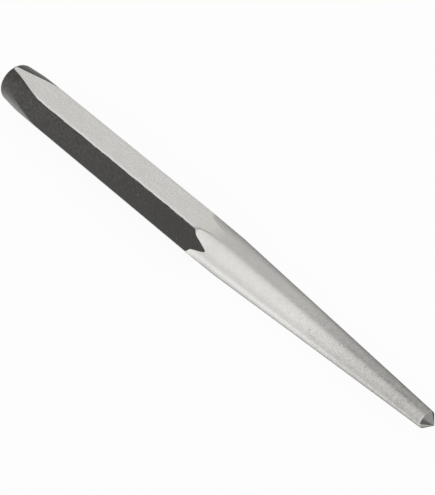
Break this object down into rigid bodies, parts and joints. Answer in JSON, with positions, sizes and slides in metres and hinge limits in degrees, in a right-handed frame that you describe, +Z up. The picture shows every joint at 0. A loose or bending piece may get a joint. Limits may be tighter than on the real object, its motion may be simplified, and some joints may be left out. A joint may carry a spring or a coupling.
{
  "type": "center punch",
  "caption": "Center punch turned from hexagonal steel bar, with a crowned head, one ground flat, a long round taper and a conical point, lying on a flat.",
  "frame": {"origin": "under the middle of the punch's length, on the surface that it lies on", "axes": "+X from the head to the point along the bar, +Z up, out of the flat that is ground bright"},
  "size_m": [0.128, 0.011, 0.0094],
  "materials": {
    "steel": "black oiled shank and head, one flat ground bright, blasted nose, ground point"
  },
  "bodies": {
    "root": {"center_punch": "steel"}
  },
  "joints": []
}
